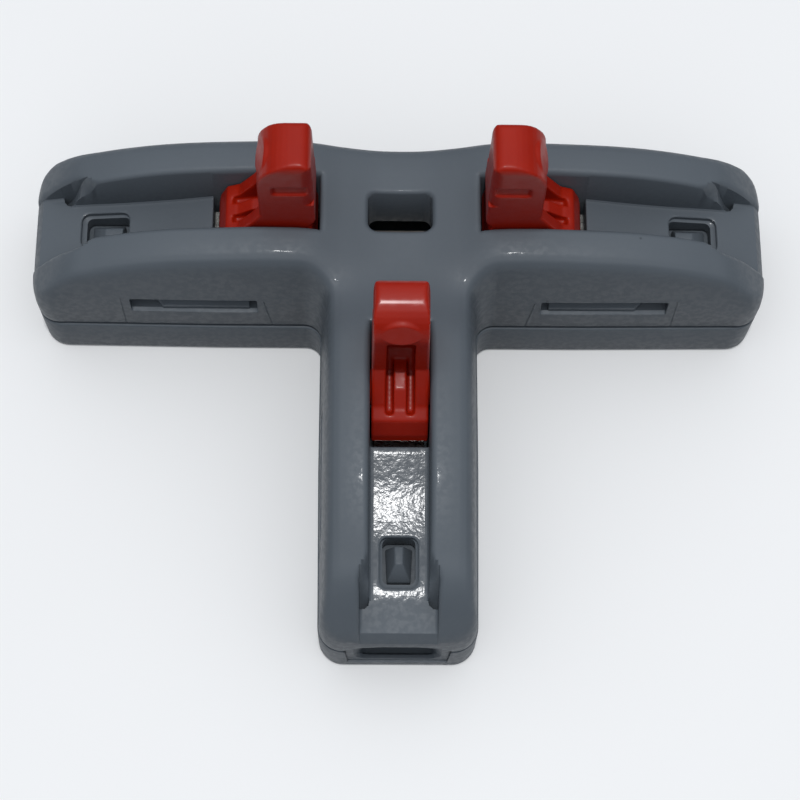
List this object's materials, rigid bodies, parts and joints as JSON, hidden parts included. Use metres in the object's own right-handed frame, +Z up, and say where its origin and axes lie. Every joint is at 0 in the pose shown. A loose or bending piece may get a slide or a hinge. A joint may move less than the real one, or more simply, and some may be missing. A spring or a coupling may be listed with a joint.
{
  "type": "lever wire connector",
  "caption": "T-shaped splice for electrical wires: a clamping wire port at the end of each arm, opened and closed by its own flip lever, all joined by a conductor bar inside a snap-together shell.",
  "frame": {"origin": "on the underside, at the middle of the outline's bounding box", "axes": "+X along the bar of the T; +Y from the stem towards the bar; +Z up, the way the open levers stand"},
  "size_m": [0.0532, 0.0358, 0.0223],
  "materials": {
    "upper_shell": "semi-gloss moulded plastic with a fine spark-eroded texture",
    "lower_shell": "semi-gloss moulded plastic with a fine spark-eroded texture",
    "lever": "semi-gloss moulded plastic, slightly translucent",
    "conductor": "tin-plated copper, stamped",
    "spring_steel": "rolled stainless spring strip"
  },
  "bodies": {
    "root": {"upper_housing": "upper_shell", "lower_housing": "lower_shell", "busbar": "conductor", "clamp_spring_left": "spring_steel", "clamp_spring_right": "spring_steel", "clamp_spring_stem": "spring_steel"},
    "left_lever": {"lever_left": "lever"},
    "right_lever": {"lever_right": "lever"},
    "stem_lever": {"lever_stem": "lever"}
  },
  "joints": [
    {"name": "left_lever_hinge", "type": "hinge", "parent": "root", "child": "left_lever", "pos_m": [-0.0094, 0.0121, 0.01095], "axis": [0, -1, 0], "range_deg": [0, 95], "deforming": ["clamp_spring_left"]},
    {"name": "right_lever_hinge", "type": "hinge", "parent": "root", "child": "right_lever", "pos_m": [0.0094, 0.0121, 0.01095], "axis": [0, 1, 0], "range_deg": [0, 95], "deforming": ["clamp_spring_right"]},
    {"name": "stem_lever_hinge", "type": "hinge", "parent": "root", "child": "stem_lever", "pos_m": [0, -0.0007, 0.01095], "axis": [1, 0, 0], "range_deg": [0, 95], "deforming": ["clamp_spring_stem"]}
  ]
}
